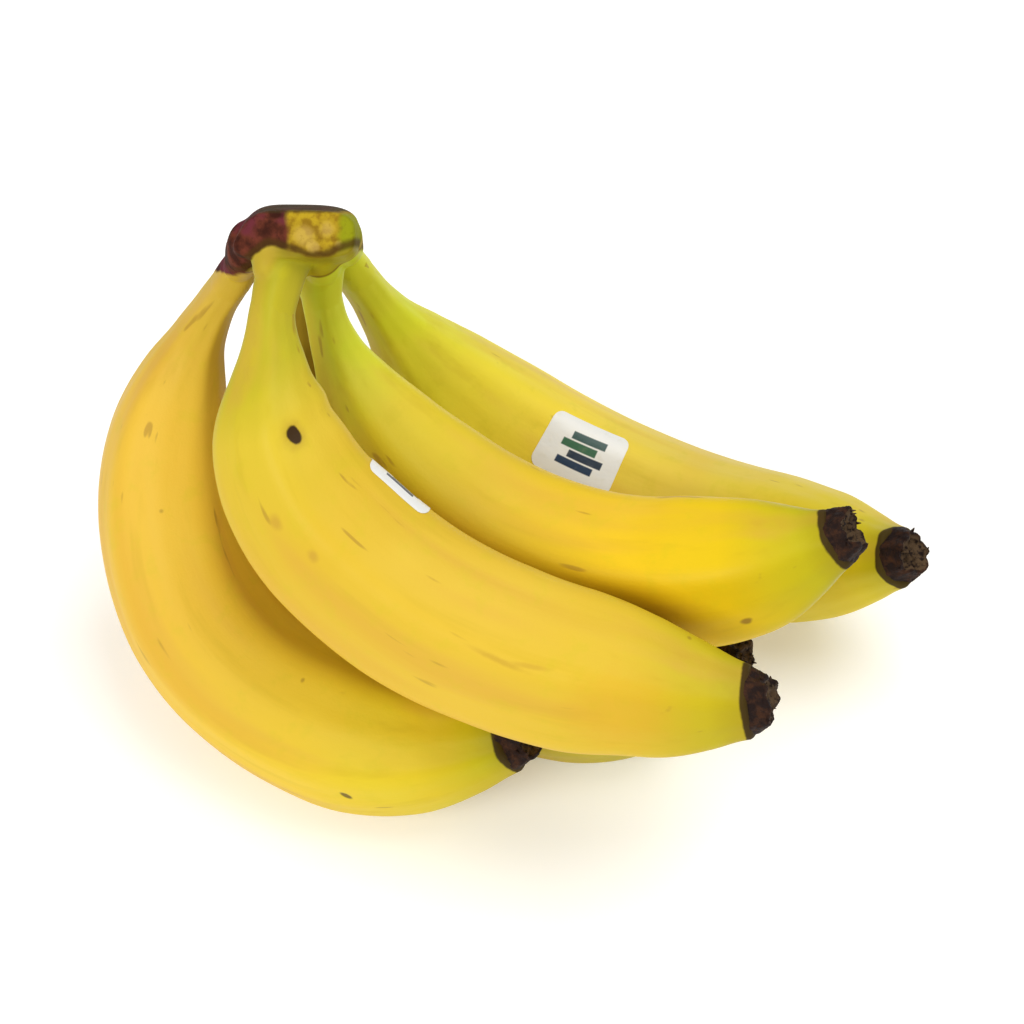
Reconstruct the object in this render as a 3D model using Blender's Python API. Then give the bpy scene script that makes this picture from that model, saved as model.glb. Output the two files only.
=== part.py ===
"""A cut hand of five ripe bananas, joined at one crown and lying on the bellies of three of them.

Units are metres, +Z is up, and the surface that the bunch lies on is Z = 0.
A finger is a loft along a bent centreline: down from the crown, through the neck and round the body.
"""
from bisect import bisect_right
from math import atan2, copysign, cos, pi, radians, sin

import bmesh
import bpy
from mathutils import Matrix, Quaternion, Vector

MM = 0.001

# How finely a finger is divided: along it, round it, and in the steps of its centreline
STATIONS = 30
SIDES = 20
CENTRELINE_STEPS = 120

# Radius along a finger: share of the length, share of the full radius
GIRTH = (
    (0.00, 0.27),
    (0.09, 0.28),
    (0.15, 0.36),
    (0.21, 0.55),
    (0.29, 0.77),
    (0.40, 0.93),
    (0.60, 1.00),
    (0.74, 1.00),
    (0.85, 0.85),
    (0.93, 0.62),
    (0.965, 0.50),
    (1.00, 0.42),
)

# A ripe banana is a soft pentagon across: how sharp its ridges are, and what keeps its mean radius
RIDGES = 5
RIDGE_SHARPNESS = 0.32
RIDGE_MEAN = 1.01

# Where along the length the neck and the body turn
NECK_BEND_AT = 0.12
NECK_BEND_REACH = 0.16
BODY_BEND_FROM = 0.12
BODY_BEND_FULL = 0.28
BODY_BEND_TO = 1.02
BODY_BEND_EASE = 0.18
BODY_BEND_LEAST = 0.25

# The crown holds the first bit of every neck, and the dried flower takes the last bit of the length
COLLAR = 7 * MM
FLOWER_LENGTH = 8 * MM
FLOWER_PAST_END = 4 * MM
TOUCHING_GAP = 0.3 * MM

# The fingers: where the centreline leaves the crown (mm), which way it heads there (a compass angle
# from +X and a slope above level), how far its neck and its body turn (degrees to the left of the
# heading and above it), its length and full radius (mm), and how far its ridges are turned
FINGERS = {
    "left": ((-64.0, 30.0, 106.7), (145.3, -69.4), (34.1, -13.8), (7.9, -135.6), 187.5, 19, 33),
    "front": ((-53.9, 18.6, 119.5), (239.9, -34.7), (42.8, -30.2), (72.5, -3.6), 169.4, 19, 0),
    "middle": ((-46.3, 29.7, 107.6), (313.0, -88.4), (0.6, 45.4), (55.3, 75.5), 168.0, 17, 0),
    "back": ((-41.6, 50.4, 88.3), (38.2, -70.3), (-23.9, 3.8), (-90.1, 47.7), 189.1, 18.5, 62),
    "under": ((-50.4, 40.9, 97.1), (250.6, -75.8), (11.5, 9.6), (120.0, 2.0), 182.2, 17.5, 23),
}

# The fingers that the bunch lies on
LYING_ON = ("left", "under", "back")

# The crown, a slab of stem tissue: places along it from its cut front to its back, and there the middle
# across, the half width, the underside and the top above the plane of the necks' roots (mm)
CROWN_SECTIONS = (
    (-7.0, 8.2, 13.4, 2.0, 10.2),
    (-6.2, 8.0, 15.0, 0.6, 11.4),
    (2, 5.6, 15.6, -0.6, 12.2),
    (14, 1.6, 16.2, -2.0, 12.0),
    (26, 0.8, 13.6, -2.0, 10.8),
    (38, 1.5, 10.2, -2.0, 9.0),
    (46, 3.0, 7.6, -2.0, 6.5),
    (50, 3.3, 5.4, -1.4, 4.2),
)
CROWN_SIDES = 20
CROWN_SQUARENESS = 3.6
CROWN_LEFT_SLOPE = 0.36
COLLAR_INSIDE = 8 * MM
CLEARED_NECK = 30 * MM

# The labels: finger, share of its length, angle round it, turn on the skin, and size
LABELS = {
    "label_back": ("back", 0.48, 10, 3, (22 * MM, 16 * MM)),
    "label_front": ("front", 0.40, -3, 0, (19 * MM, 13 * MM)),
}
LABEL_THICKNESS = 0.6 * MM
LABEL_CORNER = 2.5 * MM
LABEL_CELLS = (10, 8)

# Colours (linear), roughness
SKIN = ((0.78, 0.52, 0.05), 0.42)
CUT = ((0.40, 0.28, 0.06), 0.75)
FLOWER = ((0.03, 0.015, 0.008), 0.85)
PAPER = ((0.85, 0.84, 0.80), 0.50)


def smooth_through(knots, at):
    """A curve through the knots that never overshoots them."""
    places = [place for place, value in knots]
    values = [value for place, value in knots]
    slopes = [(b - a) / (q - p) for a, b, p, q in zip(values, values[1:], places, places[1:])]
    inner = [0 if a * b <= 0 else 2 * a * b / (a + b) for a, b in zip(slopes, slopes[1:])]
    tangents = [slopes[0], *inner, slopes[-1]]
    i = min(max(bisect_right(places, at) - 1, 0), len(slopes) - 1)
    step = places[i + 1] - places[i]
    t = (at - places[i]) / step
    ends = values[i] * (1 + 2 * t) * (1 - t) ** 2 + values[i + 1] * t * t * (3 - 2 * t)
    return ends + step * t * (1 - t) * (tangents[i] * (1 - t) - tangents[i + 1] * t)


def clamped(value, low, high):
    """The value, no lower than low and no higher than high."""
    return max(low, min(high, value))


def neck_turning(share):
    """How fast the neck turns at a share of the length."""
    return max(1 - abs(share - NECK_BEND_AT) / NECK_BEND_REACH, 0)


def body_turning(share):
    """How fast the body turns at a share of the length."""
    begins = clamped((share - BODY_BEND_FROM) / (BODY_BEND_FULL - BODY_BEND_FROM), 0, 1)
    return begins * clamped((BODY_BEND_TO - share) / BODY_BEND_EASE, BODY_BEND_LEAST, 1)


class Finger:
    """One banana: its centreline and the skin round it."""

    def __init__(self, root, heading, neck_bend, body_bend, length, radius, ridge_turn):
        self.length = length * MM
        self.radius = radius * MM
        compass, slope = (radians(angle) for angle in heading)
        forward = Vector((cos(slope) * cos(compass), cos(slope) * sin(compass), sin(slope)))
        left = Vector((-sin(compass), cos(compass), 0))
        above = forward.cross(left)
        steps = [i / CENTRELINE_STEPS for i in range(CENTRELINE_STEPS)]
        neck = [neck_turning(share) for share in steps]
        body = [body_turning(share) for share in steps]
        point = Vector(root) * MM
        self.frames = [(point, forward, left, above)]
        for neck_part, body_part in zip(neck, body):
            neck_part /= sum(neck)
            body_part /= sum(body)
            to_left = radians(neck_bend[0] * neck_part + body_bend[0] * body_part)
            to_above = radians(neck_bend[1] * neck_part + body_bend[1] * body_part)
            turn = left * to_left + above * to_above
            rotation = Quaternion(forward.cross(turn), turn.length)
            ahead = rotation @ forward
            left = rotation @ left
            above = rotation @ above
            point = point + (forward + ahead) * (self.length / CENTRELINE_STEPS / 2)
            forward = ahead
            self.frames.append((point, forward, left, above))
        # Angles round the skin are counted from the side that the finger curls towards
        self.inner_side = atan2(body_bend[1], body_bend[0])
        self.ridge_turn = radians(ridge_turn)

    def frame(self, share):
        """The centreline's place, and the directions ahead, to the left and above, at a share of the length."""
        at = clamped(share * CENTRELINE_STEPS, 0, CENTRELINE_STEPS - 1e-9)
        i = int(at)
        return [a.lerp(b, at - i) for a, b in zip(self.frames[i], self.frames[i + 1])]

    def skin_radius(self, share, angle):
        """The distance from the centreline to the skin, which five soft ridges vary."""
        half = pi / RIDGES
        from_ridge = (angle - self.ridge_turn) % (2 * half)
        facet = (cos(half) / cos(from_ridge - half)) ** RIDGE_SHARPNESS
        return self.radius * smooth_through(GIRTH, share) * facet * RIDGE_MEAN

    def skin(self, share, angle, lift=0.0):
        """A point of the skin, or that far above it."""
        point, ahead, left, above = self.frame(share)
        outward = left * cos(self.inner_side + angle) + above * sin(self.inner_side + angle)
        return point + outward * (self.skin_radius(share, angle) + lift)

    def ring(self, share, lift=0.0):
        """One section of the skin, or that far outside it."""
        return [self.skin(share, self.ridge_turn + 2 * pi * i / SIDES, lift) for i in range(SIDES)]


def new_material(name, colour, roughness):
    """A plain Principled material."""
    material = bpy.data.materials.new(name)
    material.use_nodes = True
    shader = material.node_tree.nodes["Principled BSDF"]
    shader.inputs["Base Color"].default_value = (*colour, 1)
    shader.inputs["Roughness"].default_value = roughness
    shader.inputs["Metallic"].default_value = 0
    return material


def loft(rings):
    """A closed skin through rings of points, with a flat cap at each end."""
    mesh = bmesh.new()
    rows = [[mesh.verts.new(point) for point in ring] for ring in rings]
    count = len(rows[0])
    for row, following in zip(rows, rows[1:]):
        for i in range(count):
            j = (i + 1) % count
            mesh.faces.new((row[i], row[j], following[j], following[i]))
    mesh.faces.new(rows[0])
    mesh.faces.new(rows[-1])
    bmesh.ops.recalc_face_normals(mesh, faces=mesh.faces)
    return mesh


def new_object(name, mesh, finish, collection):
    """An object from a bmesh, shaded smooth, with its own material."""
    data = bpy.data.meshes.new(name)
    mesh.to_mesh(data)
    mesh.free()
    data.shade_smooth()
    data.set_sharp_from_angle(angle=radians(40))
    data.materials.append(new_material(name, *finish))
    made = bpy.data.objects.new(name, data)
    collection.objects.link(made)
    return made


def make_finger(name, finger, collection):
    """The fruit from the crown's collar to its flower end, pressed flat where it carries the bunch."""
    first = COLLAR / finger.length
    last = 1 - (FLOWER_LENGTH - FLOWER_PAST_END) / finger.length
    shares = [first + (last - first) * i / (STATIONS - 1) for i in range(STATIONS)]
    mesh = loft([finger.ring(share) for share in shares])
    if name in LYING_ON:
        everything = [*mesh.verts, *mesh.edges, *mesh.faces]
        cut = bmesh.ops.bisect_plane(
            mesh, geom=everything, plane_co=(0, 0, 0), plane_no=(0, 0, -1), clear_outer=True
        )
        rim = [edge for edge in cut["geom_cut"] if isinstance(edge, bmesh.types.BMEdge)]
        bmesh.ops.contextual_create(mesh, geom=rim)
        bmesh.ops.recalc_face_normals(mesh, faces=mesh.faces)
    new_object("finger_" + name, mesh, SKIN, collection)


def make_flower_end(name, finger, collection):
    """The dried flower on the end of the fruit: a ragged stub that narrows and bends aside."""
    skin_end = 1 - (FLOWER_LENGTH - FLOWER_PAST_END) / finger.length
    point, ahead, left, above = finger.frame(skin_end)
    base = finger.radius * smooth_through(GIRTH, skin_end)
    sides = 12
    rings = []
    for along, width in ((0, 0.90), (0.2, 0.96), (0.5, 0.86), (0.8, 0.74), (1.0, 0.52)):
        centre = point + ahead * (TOUCHING_GAP + (FLOWER_LENGTH - TOUCHING_GAP) * along)
        centre = centre + above * (0.12 * base * along)
        ring = []
        for i in range(sides):
            angle = 2 * pi * i / sides
            ragged = 1 + 0.07 * along * sin(3 * angle + finger.length * 900) + 0.05 * sin(5 * angle)
            ring.append(centre + (left * cos(angle) + above * sin(angle)) * (base * width * ragged))
        rings.append(ring)
    new_object("flower_end_" + name, loft(rings), FLOWER, collection)


def crown_frame(fingers):
    """A place beside the front neck's root, the way back through the slab, the way across it, and up."""
    roots = {name: finger.frame(0)[0] for name, finger in fingers.items()}
    back = (roots["back"] - roots["front"]).normalized()
    across = roots["middle"] - roots["left"]
    across = (across - back * across.dot(back)).normalized()
    middle = sum(roots.values(), Vector()) / len(roots)
    beside = roots["front"] + across * across.dot(middle - roots["front"])
    return beside, back, across, across.cross(back)


def squarish_ring(centre, across, up, half_width, under, top):
    """A squarish oval between an underside and a top, its left side sloping in."""
    ring = []
    power = 2 / CROWN_SQUARENESS
    for i in range(CROWN_SIDES):
        angle = 2 * pi * i / CROWN_SIDES
        side = copysign(abs(cos(angle)) ** power, cos(angle))
        height = copysign(abs(sin(angle)) ** power, sin(angle))
        if side < 0:
            side *= 1 - CROWN_LEFT_SLOPE * (1 + height) / 2
        lift = (top + under) / 2 + (top - under) / 2 * height
        ring.append(centre + across * (half_width * side) + up * lift)
    return ring


def combined(target, shapes, operation):
    """Join the shapes to the target or take them out of it."""
    others = bpy.data.collections.new("cutters")
    bpy.context.scene.collection.children.link(others)
    for i, mesh in enumerate(shapes):
        other = new_object(operation.lower() + str(i), mesh, CUT, others)
        other.hide_render = True
        other.display_type = "WIRE"
    boolean = target.modifiers.new(operation, "BOOLEAN")
    boolean.operation = operation
    boolean.solver = "EXACT"
    boolean.operand_type = "COLLECTION"
    boolean.collection = others
    graph = bpy.context.evaluated_depsgraph_get()
    result = bpy.data.meshes.new_from_object(target.evaluated_get(graph))
    target.modifiers.clear()
    target.data = result
    for other in list(others.objects):
        bpy.data.objects.remove(other)
    bpy.data.collections.remove(others)


def make_crown(fingers, collection):
    """The slab with its cut front, joined to a short collar round the start of each neck."""
    beside, back, across, up = crown_frame(fingers)
    rings = []
    for along, middle, half_width, under, top in CROWN_SECTIONS:
        centre = beside + back * (along * MM) + across * (middle * MM)
        rings.append(squarish_ring(centre, across, up, half_width * MM, under * MM, top * MM))
    crown = new_object("crown", loft(rings), CUT, collection)

    collars = []
    sleeves = []
    for finger in fingers.values():
        heading = finger.frame(0)[1]
        end = (COLLAR - 2 * TOUCHING_GAP) / finger.length
        sunk = [corner - heading * COLLAR_INSIDE for corner in finger.ring(0)]
        collars.append(loft([sunk, *(finger.ring(end * i / 3) for i in range(4))]))
        begin = (COLLAR - TOUCHING_GAP) / finger.length
        cleared = CLEARED_NECK / finger.length
        shares = [begin + (cleared - begin) * i / 8 for i in range(9)]
        sleeves.append(loft([finger.ring(share, TOUCHING_GAP) for share in shares]))
    combined(crown, collars, "UNION")
    combined(crown, sleeves, "DIFFERENCE")


def make_label(name, finger, share, angle, turn, size, collection):
    """A paper label, bent to the skin that it is stuck on."""
    columns, rows = LABEL_CELLS
    lowest = TOUCHING_GAP
    turning = Matrix.Rotation(radians(turn), 2)
    mesh = bmesh.new()
    sheets = []
    for lift in (lowest, lowest + LABEL_THICKNESS):
        sheet = {}
        for i in range(columns + 1):
            for j in range(rows + 1):
                x = size[0] * (i / columns - 0.5)
                y = size[1] * (j / rows - 0.5)
                if i in (0, columns) and j in (0, rows):
                    shorter = 1 - 0.3 * 2 * LABEL_CORNER / size[0]
                    narrower = 1 - 0.3 * 2 * LABEL_CORNER / size[1]
                    x, y = x * shorter, y * narrower
                along, round_it = turning @ Vector((x, y))
                there = share + along / finger.length
                here = radians(angle) + round_it / finger.skin_radius(share, radians(angle))
                sheet[i, j] = mesh.verts.new(finger.skin(there, here, lift))
        sheets.append(sheet)
    for sheet in sheets:
        for i in range(columns):
            for j in range(rows):
                mesh.faces.new((sheet[i, j], sheet[i + 1, j], sheet[i + 1, j + 1], sheet[i, j + 1]))
    below, top = sheets
    border = [(i, 0) for i in range(columns)] + [(columns, j) for j in range(rows)]
    border += [(i, rows) for i in range(columns, 0, -1)] + [(0, j) for j in range(rows, 0, -1)]
    for a, b in zip(border, border[1:] + border[:1]):
        mesh.faces.new((below[a], below[b], top[b], top[a]))
    bmesh.ops.recalc_face_normals(mesh, faces=mesh.faces)
    new_object(name, mesh, PAPER, collection)


def main():
    for old in list(bpy.data.objects):
        bpy.data.objects.remove(old)
    collection = bpy.data.collections.new("bunch_of_bananas")
    bpy.context.scene.collection.children.link(collection)

    fingers = {name: Finger(*facts) for name, facts in FINGERS.items()}
    for name, finger in fingers.items():
        make_finger(name, finger, collection)
        make_flower_end(name, finger, collection)
    make_crown(fingers, collection)
    for name, (finger, share, angle, turn, size) in LABELS.items():
        make_label(name, fingers[finger], share, angle, turn, size, collection)


main()
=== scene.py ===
"""A cut hand of five ripe bananas, lying on a pale table.

Each fruit is a fine skin round the same bent centreline as its solid, with soft ridges worked by one
geometry tree. Lengths are in metres unless a table says millimetres.
"""

from math import cos, pi, radians, sin

import bmesh
import bpy
import numpy as np
from mathutils import Matrix, Vector
from mathutils.bvhtree import BVHTree


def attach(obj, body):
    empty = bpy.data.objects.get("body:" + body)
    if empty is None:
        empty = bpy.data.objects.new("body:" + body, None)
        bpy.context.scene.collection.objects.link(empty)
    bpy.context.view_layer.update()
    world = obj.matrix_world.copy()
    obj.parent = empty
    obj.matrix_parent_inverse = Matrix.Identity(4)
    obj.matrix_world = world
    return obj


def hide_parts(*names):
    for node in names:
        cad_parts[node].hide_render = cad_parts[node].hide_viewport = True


MM = 0.001

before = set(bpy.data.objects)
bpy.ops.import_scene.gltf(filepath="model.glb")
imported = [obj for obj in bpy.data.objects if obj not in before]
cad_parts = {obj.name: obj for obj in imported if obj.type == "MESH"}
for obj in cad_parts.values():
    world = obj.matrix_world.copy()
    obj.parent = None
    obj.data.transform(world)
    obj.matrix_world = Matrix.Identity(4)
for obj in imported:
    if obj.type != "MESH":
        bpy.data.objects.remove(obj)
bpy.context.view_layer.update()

# The camera of the photograph: its place (mm), where it looks, its upward side, and the lens
CAMERA_PLACE = (-2.29, -552.72, 750.29)
CAMERA_AHEAD = (0.0, 0.6236, -0.7817)
CAMERA_UP = (-0.0194, 0.7816, 0.6235)
CAMERA_LENS = 137.6

# The fruits, as the part's source has them: where the centreline leaves the crown (mm), its heading
# (compass and slope), the bends of its neck and body, its length and full radius (mm), its ridges' turn
FRUITS = {
    "left": ((-64.0, 30.0, 106.7), (145.3, -69.4), (34.1, -13.8), (7.9, -135.6), 187.5, 19, 33),
    "front": ((-53.9, 18.6, 119.5), (239.9, -34.7), (42.8, -30.2), (72.5, -3.6), 169.4, 19, 0),
    "middle": ((-46.3, 29.7, 107.6), (313.0, -88.4), (0.6, 45.4), (55.3, 75.5), 168.0, 17, 0),
    "back": ((-41.6, 50.4, 88.3), (38.2, -70.3), (-23.9, 3.8), (-90.1, 47.7), 189.1, 18.5, 62),
    "under": ((-50.4, 40.9, 97.1), (250.6, -75.8), (11.5, 9.6), (120.0, 2.0), 182.2, 17.5, 23),
}
# Where a real fruit leaves the plain rule: share of its length, then how far it goes to the right, up and
# near as the photograph shows it (mm), and its girth as a share of the rule's
OWN_SHAPE = {
    "left": (
        (0.00, 1.2, 0.0, 0, 0.80),
        (0.05, 0.6, 0.0, 0, 0.84),
        (0.10, -0.4, 0.2, 0, 0.88),
        (0.16, -0.9, 0.4, 0, 0.91),
        (0.23, -0.8, 0.3, 0, 0.96),
        (0.33, -0.6, 0.2, 0, 1.00),
        (0.52, -1.5, -0.6, 0, 1.02),
        (0.74, -0.3, 1.0, 0, 1.00),
        (1.00, 0.4, 0.2, 0, 0.90),
    ),
    "front": (
        (0.00, 1.2, 0.0, 0, 0.86),
        (0.06, 2.6, 0.0, 0, 0.96),
        (0.12, 4.2, 0.4, 0, 1.18),
        (0.18, 2.2, 0.2, 0, 1.36),
        (0.24, -0.4, -0.1, 0, 1.22),
        (0.34, -1.8, -0.9, 0, 1.08),
        (0.50, -1.0, -0.8, 0, 1.03),
        (0.66, -0.2, 0.4, 0, 0.99),
        (0.80, 0.0, 0.9, 0, 0.96),
        (0.90, -0.3, -0.9, 0, 0.98),
        (1.00, -0.8, -3.0, 0, 0.92),
    ),
    "middle": (
        (0.00, 0.0, 0.0, 0, 0.98),
        (0.70, 0.0, 0.0, 0, 1.00),
        (0.88, 0.2, -1.2, 0, 1.10),
        (1.00, 0.0, -2.6, 0, 0.84),
    ),
    "back": (
        (0.00, -0.8, -0.6, 0, 0.88),
        (0.10, -0.3, -0.2, 0, 0.96),
        (0.66, 0.0, 0.0, 0, 1.00),
        (0.84, -0.4, 0.5, 0, 0.97),
        (1.00, -1.6, -1.2, 0, 0.82),
    ),
    "under": (
        (0.00, 0.0, 0.0, 0, 0.95),
        (0.20, 0.0, 0.0, 0, 0.95),
        (0.50, 0.0, -2.4, 1.9, 1.00),
        (0.80, 0.0, -2.4, 1.9, 1.00),
        (1.00, -1.2, -1.0, 0.8, 0.86),
    ),
}
GIRTH = (
    (0.00, 0.27),
    (0.09, 0.28),
    (0.15, 0.36),
    (0.21, 0.55),
    (0.29, 0.77),
    (0.40, 0.93),
    (0.60, 1.00),
    (0.74, 1.00),
    (0.85, 0.85),
    (0.93, 0.62),
    (0.965, 0.50),
    (1.00, 0.42),
)
NECK_BEND_AT = 0.12
NECK_BEND_REACH = 0.16
BODY_BEND_FROM = 0.12
BODY_BEND_FULL = 0.28
BODY_BEND_TO = 1.02
BODY_BEND_EASE = 0.18
BODY_BEND_LEAST = 0.25
CENTRELINE_STEPS = 120

# The fine skin: how many sections and points round it, where it begins inside the crown, where it ends
SECTIONS = 230
ROUND = 140
SKIN_BEGINS = 4 * MM
FLOWER_LENGTH = 8 * MM
FLOWER_PAST_END = 4 * MM
SKIN_ENDS_BEFORE = FLOWER_LENGTH - FLOWER_PAST_END
# The skin's last sections turn in over its end: how far past it (m) and share of the girth there
TURN_IN = ((0.0005, 0.985), (0.0010, 0.94), (0.0013, 0.86), (0.0012, 0.72), (0.0008, 0.40))

# Skin relief: the ridges' height as a share of the radius, the second wave that sharpens them, and how
# uneven the skin is, with the scale of its swells and of its grain, which is drawn out along the fruit
RIDGES = 5
MEAN_GIRTH = 0.974
RIDGE_HEIGHT = 0.038
SECOND_WAVE = 0.28
UNEVEN = 0.55 * MM
FINE_UNEVEN = 0.10 * MM
SWELL_SCALE = 38.0
GRAIN_SCALE = 420.0
GRAIN_STRETCH = 0.16
# The skin is even where it is thinner than the first of these, and fully uneven from the second on
EVEN_BELOW, UNEVEN_FROM = 4 * MM, 9 * MM

# Painted shade: skin that lies close to a second fruit is painted darker brown, and most where the two
# part: how far each of these shows
CREVICE_REACH = 4.5 * MM
PARTING_WIDTH = 1.5 * MM


def through(knots, at):
    """A curve through the knots that never overshoots them."""
    places = np.array([place for place, value in knots])
    values = np.array([value for place, value in knots])
    slopes = np.diff(values) / np.diff(places)
    a, b = slopes[:-1], slopes[1:]
    level = a * b <= 0
    inner = np.where(level, 0, 2 * a * b / np.where(level, 1, a + b))
    tangents = np.concatenate([slopes[:1], inner, slopes[-1:]])
    at = np.clip(at, places[0], places[-1])
    i = np.clip(np.searchsorted(places, at, side="right") - 1, 0, len(slopes) - 1)
    step = np.diff(places)[i]
    t = (at - places[i]) / step
    ends = values[i] * (1 + 2 * t) * (1 - t) ** 2 + values[i + 1] * t * t * (3 - 2 * t)
    return ends + step * t * (1 - t) * (tangents[i] * (1 - t) - tangents[i + 1] * t)


def photo_ways():
    """The photograph's right, up and near as directions of the frame."""
    ahead = Vector(CAMERA_AHEAD).normalized()
    up = Vector(CAMERA_UP)
    up = (up - ahead * up.dot(ahead)).normalized()
    return [np.array(way) for way in (ahead.cross(up), up, -ahead)]


class Fruit:
    """One banana: its centreline and the plain round skin about it."""

    def __init__(self, own_shape, root, heading, neck_bend, body_bend, length, radius, ridge_turn):
        self.own_shape = own_shape
        self.length = length * MM
        self.radius = radius * MM
        self.ridge_turn = radians(ridge_turn)
        self.inner_side = np.arctan2(body_bend[1], body_bend[0])
        compass, slope = (radians(angle) for angle in heading)
        ahead = Vector((cos(slope) * cos(compass), cos(slope) * sin(compass), sin(slope)))
        left = Vector((-sin(compass), cos(compass), 0))
        above = ahead.cross(left)
        steps = np.arange(CENTRELINE_STEPS) / CENTRELINE_STEPS
        neck = np.clip(1 - abs(steps - NECK_BEND_AT) / NECK_BEND_REACH, 0, None)
        begins = np.clip((steps - BODY_BEND_FROM) / (BODY_BEND_FULL - BODY_BEND_FROM), 0, 1)
        body = begins * np.clip((BODY_BEND_TO - steps) / BODY_BEND_EASE, BODY_BEND_LEAST, 1)
        neck /= neck.sum()
        body /= body.sum()
        place = Vector(root) * MM
        rows = [(place, ahead, left, above)]
        for neck_part, body_part in zip(neck, body):
            to_left = radians(neck_bend[0] * neck_part + body_bend[0] * body_part)
            to_above = radians(neck_bend[1] * neck_part + body_bend[1] * body_part)
            turn = left * to_left + above * to_above
            rotation = Matrix.Rotation(turn.length, 3, ahead.cross(turn))
            onward = rotation @ ahead
            place = place + (ahead + onward) * (self.length / CENTRELINE_STEPS / 2)
            left = rotation @ left
            above = rotation @ above
            ahead = onward
            rows.append((place, ahead, left, above))
        self.rows = np.array([[list(part) for part in row] for row in rows])
        stations = np.arange(CENTRELINE_STEPS + 1) / CENTRELINE_STEPS
        for column, way in enumerate(photo_ways(), start=1):
            drift = through([(row[0], row[column]) for row in own_shape], stations) * MM
            self.rows[:, 0] += drift[:, None] * way

    def frames(self, shares):
        """Places, and the directions ahead, left and above, at shares of the length."""
        shares = np.atleast_1d(np.asarray(shares, float))
        at = np.clip(shares * CENTRELINE_STEPS, 0, CENTRELINE_STEPS - 1e-6)
        i = at.astype(int)
        t = (at - i)[:, None, None]
        rows = self.rows[i] * (1 - t) + self.rows[i + 1] * t
        place, ahead, left, above = (rows[:, k] for k in range(4))
        beyond = (shares - np.clip(shares, 0, 1)) * self.length
        return place + ahead * beyond[:, None], ahead, left, above

    def girth(self, shares):
        """The mean radius at shares of the length."""
        shares = np.asarray(shares, float)
        own = through([(row[0], row[4]) for row in self.own_shape], shares)
        return self.radius * through(GIRTH, shares) * own * MEAN_GIRTH

    def outward(self, shares, angles):
        """Directions away from the centreline, sections by angles."""
        left, above = self.frames(shares)[2:]
        turned = self.inner_side + np.asarray(angles)
        cosines, sines = np.cos(turned)[:, None], np.sin(turned)[:, None]
        return left[:, None] * cosines + above[:, None] * sines

    def skin(self, shares, angles, lift=0.0):
        """Points of the plain round skin, sections by angles."""
        place = self.frames(shares)[0]
        out = self.outward(shares, angles)
        return place[:, None] + out * (self.girth(shares)[:, None, None] + lift)


class Socket:
    """A value in a node tree: a sum or a product of it adds the node that works it out."""

    def __init__(self, tree, socket):
        self.tree = tree
        self.socket = socket

    def worked(self, operation, *others):
        """This value, then others, put through one step of maths."""
        return self.tree.maths(operation, self, *others)

    def beside(self, name):
        """Another output of the node that gives this value."""
        return Socket(self.tree, self.socket.node.outputs[name])

    def __add__(self, other):
        return self.worked("ADD", other)

    def __radd__(self, other):
        return self.tree.maths("ADD", other, self)

    def __sub__(self, other):
        return self.worked("SUBTRACT", other)

    def __rsub__(self, other):
        return self.tree.maths("SUBTRACT", other, self)

    def __mul__(self, other):
        return self.worked("MULTIPLY", other)

    def __rmul__(self, other):
        return self.tree.maths("MULTIPLY", other, self)

    def __gt__(self, other):
        return self.worked("GREATER_THAN", other)


class Tree:
    """A node tree being put together."""

    def __init__(self, nodes):
        self.nodes = nodes

    def node(self, kind, settings=None, inputs=None, output=0):
        """A node with its settings made first, then its sockets' values or links; gives one output."""
        made = self.nodes.nodes.new(kind)
        for name, value in (settings or {}).items():
            if name == "stops":
                self.set_stops(made.color_ramp, value)
            else:
                setattr(made, name, value)
        for key, value in (inputs or {}).items():
            for one in value if isinstance(value, list) else [value]:
                if isinstance(one, Socket):
                    self.nodes.links.new(one.socket, made.inputs[key])
                else:
                    made.inputs[key].default_value = one
        return Socket(self, made.outputs[output])

    def set_stops(self, ramp, stops):
        """Colours along a ramp."""
        while len(ramp.elements) < len(stops):
            ramp.elements.new(0.5)
        for element, (place, colour) in zip(ramp.elements, stops):
            element.position = place
            element.color = (*colour, 1)

    def maths(self, operation, *values):
        """One step of maths on numbers."""
        return self.node("ShaderNodeMath", {"operation": operation}, dict(enumerate(values)))

    def scaled(self, vector, amount):
        """A vector made longer or shorter."""
        return self.node("ShaderNodeVectorMath", {"operation": "SCALE"}, {0: vector, "Scale": amount})

    def stored(self, name, kind="FLOAT"):
        """An attribute of the mesh, in a geometry tree."""
        return self.node("GeometryNodeInputNamedAttribute", {"data_type": kind}, {0: name})

    def vector(self, operation, a, b=None, output=0):
        """Vector maths."""
        inputs = {0: a} if b is None else {0: a, 1: b}
        return self.node("ShaderNodeVectorMath", {"operation": operation}, inputs, output)

    def noise(self, place, scale, detail=2.0, roughness=0.5, output=0):
        """Even noise about 0.5."""
        inputs = {"Vector": place, "Scale": scale, "Detail": detail, "Roughness": roughness}
        return self.node("ShaderNodeTexNoise", {}, inputs, output)

    def eased(self, value, low, high):
        """0 where the value is low, 1 where it is high, and smooth between."""
        inputs = {"Value": value, "From Min": low, "From Max": high}
        return self.node("ShaderNodeMapRange", {"interpolation_type": "SMOOTHSTEP"}, inputs)

    def within(self, value, low, high, edge):
        """1 where the value is between two others, 0 outside, and smooth over the edges."""
        return self.eased(value, low, low + edge) * (1.0 - self.eased(value, high, high + edge))

    def parts(self, vector):
        """The three parts of a vector."""
        first = self.node("ShaderNodeSeparateXYZ", {}, {0: vector})
        return [first.beside(name) for name in "XYZ"]

    def joined(self, x, y, z):
        """A vector of three parts."""
        return self.node("ShaderNodeCombineXYZ", {}, {0: x, 1: y, 2: z})


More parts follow.
